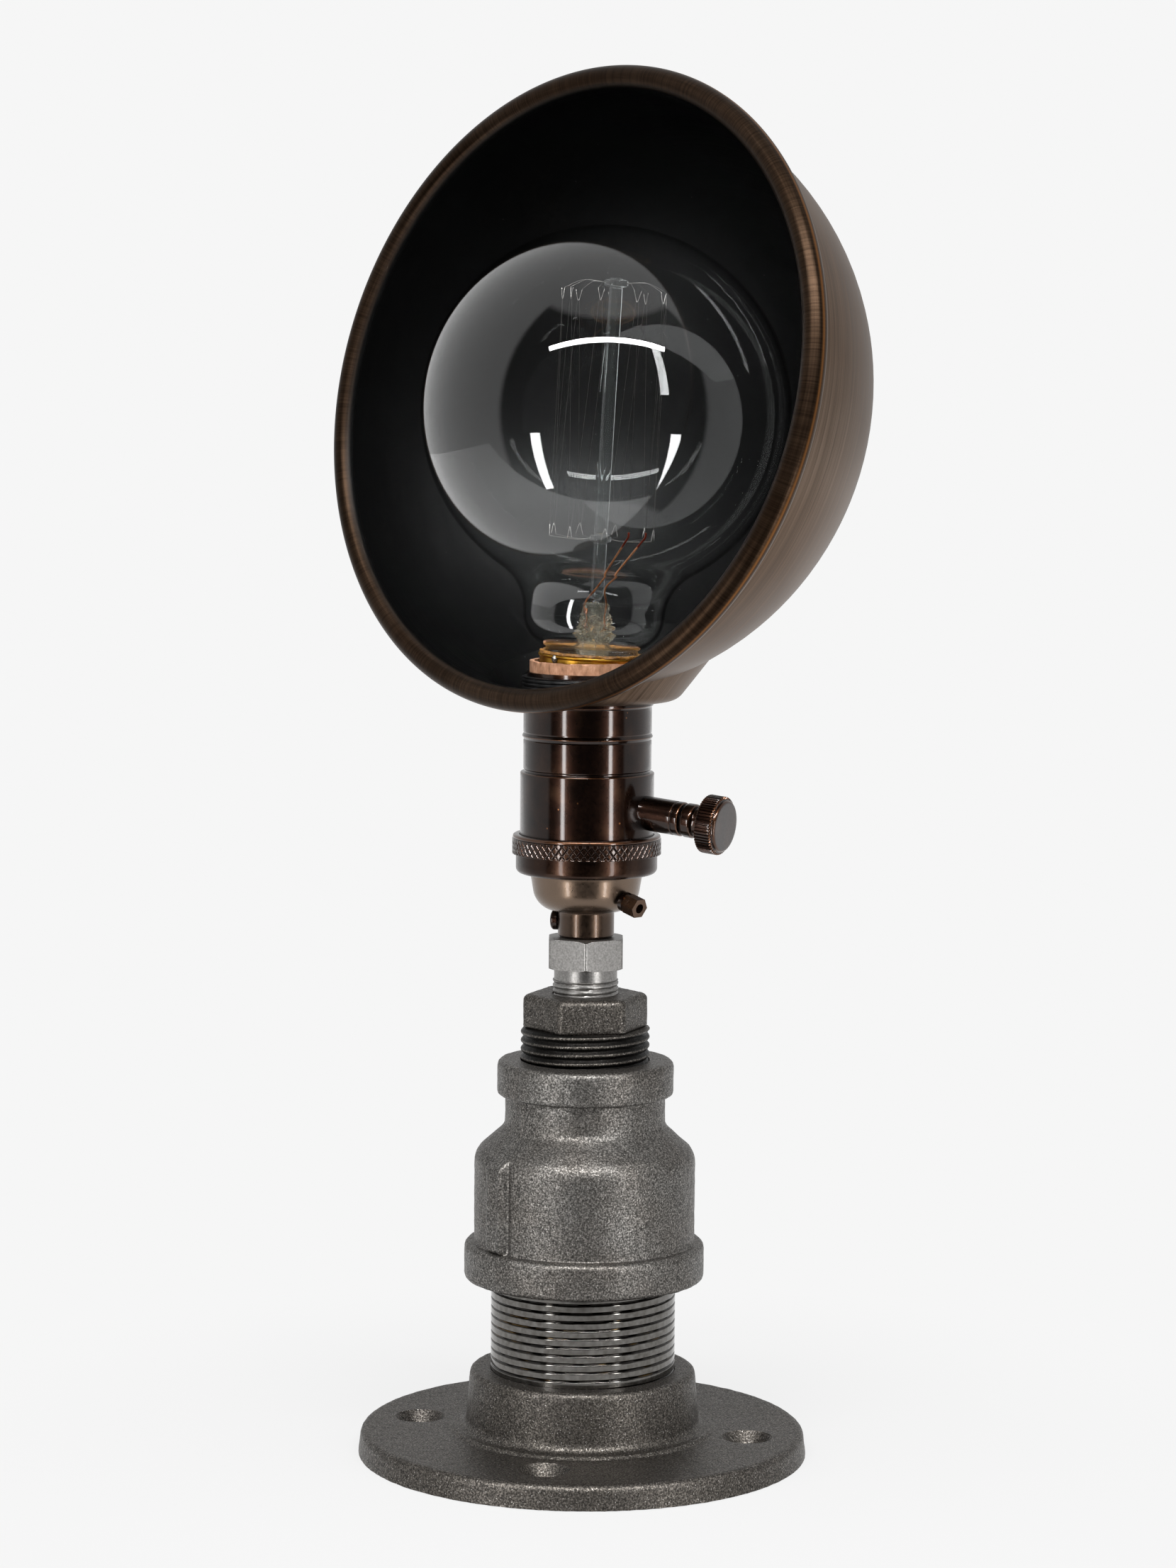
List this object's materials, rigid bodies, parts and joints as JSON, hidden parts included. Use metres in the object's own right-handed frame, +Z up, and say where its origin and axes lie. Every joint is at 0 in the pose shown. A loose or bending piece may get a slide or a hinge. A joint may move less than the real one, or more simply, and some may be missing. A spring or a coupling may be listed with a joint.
{
  "type": "pipe_table_lamp",
  "caption": "Table lamp of threaded pipe fittings: cast flange, steel nipple, reducing coupling, turn-knob socket, tilted dome shade and clear globe bulb.",
  "frame": {"origin": "centre of the flange's underside", "axes": "+Z runs up the pipe stack; the shade opens towards -Y; +X is to its right seen from above with the opening down the page"},
  "size_m": [0.167, 0.1254, 0.3584],
  "materials": {
    "cast_iron": "sand cast, bare",
    "bare_steel": "turned",
    "plated_steel": "satin plated",
    "bronzed_brass": "dark bronzed, glossy",
    "bare_brass": "polished",
    "black_paint": "satin",
    "bronze_paint": "satin",
    "fibre_board": "matt",
    "moulded_black": "moulded",
    "black_glass": "glossy",
    "clear_glass": "clear",
    "cement": "matt",
    "solder": "satin",
    "support_wire": "drawn",
    "filament_wire": "drawn",
    "copper_wire": "drawn"
  },
  "bodies": {
    "stand": {"floor_flange": "cast_iron", "pipe_nipple": "bare_steel", "reducing_coupling": "cast_iron", "hex_bushing": "cast_iron", "hex_adapter": "plated_steel", "lamp_tube": "plated_steel", "socket_cap": "bronzed_brass", "set_screw": "bronzed_brass", "earth_stud": "bronzed_brass", "earth_post": "bronzed_brass", "socket_shell": "bronzed_brass", "shade_ring": "black_paint", "fibre_liner": "fibre_board", "switch_body": "moulded_black", "terminal_screws": "bare_brass", "socket_insulator": "moulded_black", "screw_shell": "bare_brass", "centre_contact": "bare_brass", "switch_stem": "bronzed_brass"},
    "shade": {"shade": "bronze_paint"},
    "knob": {"turn_knob": "bronzed_brass", "knob_shaft": "bare_steel", "switch_rotor": "moulded_black"},
    "bulb_tip": {"contact_tip": "solder"},
    "bulb": {"bulb_base": "bare_brass", "base_insulator": "black_glass", "bulb_glass": "clear_glass", "base_cement": "cement", "side_solder": "solder", "glass_stem": "clear_glass", "glass_rod": "clear_glass", "upper_supports": "support_wire", "lower_supports": "support_wire", "filament": "filament_wire", "lead_wires": "copper_wire"}
  },
  "joints": [
    {"name": "shade_swivel", "type": "hinge", "parent": "stand", "child": "shade", "pos_m": [0, 0, 0.1974], "axis": [0, 0, 1], "continuous": true},
    {"name": "knob_turn", "type": "hinge", "parent": "stand", "child": "knob", "pos_m": [0, 0, 0.1703], "axis": [0.9597, 0.2643, -0.0958], "continuous": true},
    {"name": "bulb_rise", "type": "slide", "parent": "stand", "child": "bulb_tip", "axis": [0.0389, 0.0368, 0.9986], "range_m": [0, 0.022]},
    {"name": "bulb_turn", "type": "hinge", "parent": "bulb_tip", "child": "bulb", "pos_m": [0, 0, 0.1934], "axis": [0.0389, 0.0368, 0.9986], "range_deg": [0, 2160]}
  ],
  "couplings": [
    {"joint": "bulb_rise", "follows": "bulb_turn", "m_per_rad": 0.00057773}
  ]
}
